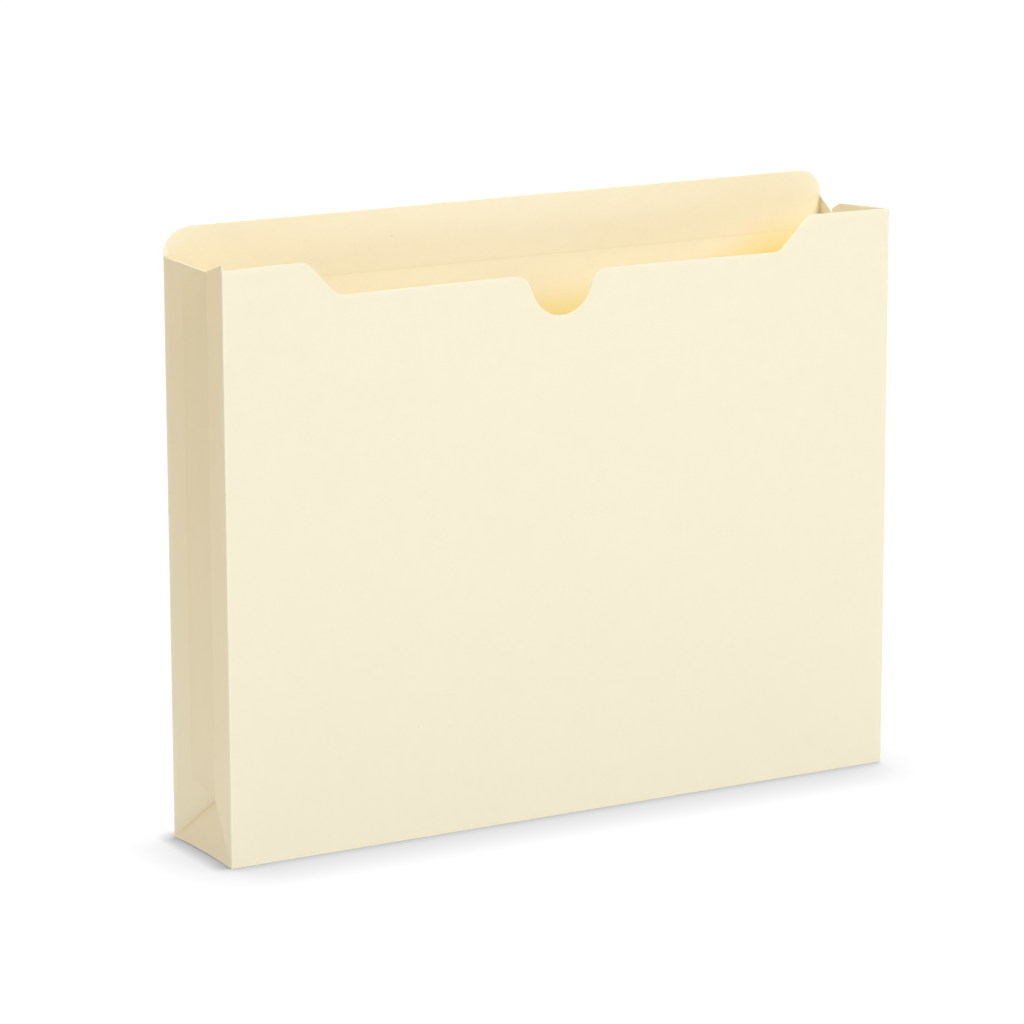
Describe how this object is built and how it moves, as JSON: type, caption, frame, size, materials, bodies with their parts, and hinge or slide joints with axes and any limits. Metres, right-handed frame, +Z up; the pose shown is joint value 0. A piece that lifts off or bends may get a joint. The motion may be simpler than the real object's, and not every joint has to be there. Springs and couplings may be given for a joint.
{
  "type": "file jacket",
  "caption": "Open-topped manila file jacket with a raised rear tab, a stepped and thumb-notched front edge, and pleated side and bottom gussets that fold flat.",
  "frame": {"origin": "under the middle of the pocket, on the surface that the jacket stands on", "axes": "+X along the width, to the right seen from the front; +Y from the front panel to the back panel; +Z up"},
  "size_m": [0.2986, 0.0502, 0.2406],
  "materials": {
    "manila": "uncoated matte",
    "score": "creased, uncoated",
    "glue": "dried glue film"
  },
  "bodies": {
    "back": {"back_panel": "manila", "tab_ply": "manila", "tab_glue": "glue", "back_left_score": "score", "back_right_score": "score", "back_bottom_score": "score", "left_corner_web": "manila", "right_corner_web": "manila", "left_corner_tuck": "manila", "right_corner_tuck": "manila"},
    "left_rear": {"left_rear_leaf": "manila", "left_seam_glue": "glue", "left_glue_flap": "manila", "left_mid_score": "score"},
    "left_front": {"left_front_leaf": "manila"},
    "front": {"front_panel": "manila", "front_left_score": "score", "front_right_score": "score", "front_bottom_score": "score"},
    "right_rear": {"right_rear_leaf": "manila", "right_seam_glue": "glue", "right_glue_flap": "manila", "right_mid_score": "score"},
    "right_front": {"right_front_leaf": "manila"},
    "bottom_rear": {"bottom_rear_leaf": "manila", "bottom_mid_score": "score"},
    "bottom_front": {"bottom_front_leaf": "manila"}
  },
  "joints": [
    {"name": "left_back_fold", "type": "hinge", "parent": "back", "child": "left_rear", "pos_m": [-0.14895, 0.0248, 0], "axis": [0, 0, 1], "range_deg": [0, 72], "deforming": ["left_corner_web", "right_corner_web", "left_corner_tuck", "right_corner_tuck"]},
    {"name": "left_mid_fold", "type": "hinge", "parent": "left_rear", "child": "left_front", "pos_m": [-0.14345, 0, 0], "axis": [0, 0, 1], "range_deg": [-144, 0]},
    {"name": "left_front_fold", "type": "hinge", "parent": "left_front", "child": "front", "pos_m": [-0.14895, -0.0248, 0], "axis": [0, 0, 1], "range_deg": [0, 72]},
    {"name": "right_back_fold", "type": "hinge", "parent": "back", "child": "right_rear", "pos_m": [0.14895, 0.0248, 0], "axis": [0, 0, 1], "range_deg": [-72, 0]},
    {"name": "right_mid_fold", "type": "hinge", "parent": "right_rear", "child": "right_front", "pos_m": [0.14345, 0, 0], "axis": [0, 0, 1], "range_deg": [0, 144]},
    {"name": "bottom_back_fold", "type": "hinge", "parent": "back", "child": "bottom_rear", "pos_m": [0, 0.0248, 0.0003], "axis": [-1, 0, 0], "range_deg": [0, 72]},
    {"name": "bottom_mid_fold", "type": "hinge", "parent": "bottom_rear", "child": "bottom_front", "pos_m": [0, 0, 0.0058], "axis": [-1, 0, 0], "range_deg": [-144, 0]}
  ],
  "couplings": [
    {"joint": "left_mid_fold", "follows": "left_back_fold", "ratio": -2},
    {"joint": "left_front_fold", "follows": "left_back_fold", "ratio": 1},
    {"joint": "right_back_fold", "follows": "left_back_fold", "ratio": -1},
    {"joint": "right_mid_fold", "follows": "left_back_fold", "ratio": 2},
    {"joint": "bottom_back_fold", "follows": "left_back_fold", "ratio": 1},
    {"joint": "bottom_mid_fold", "follows": "left_back_fold", "ratio": -2}
  ]
}
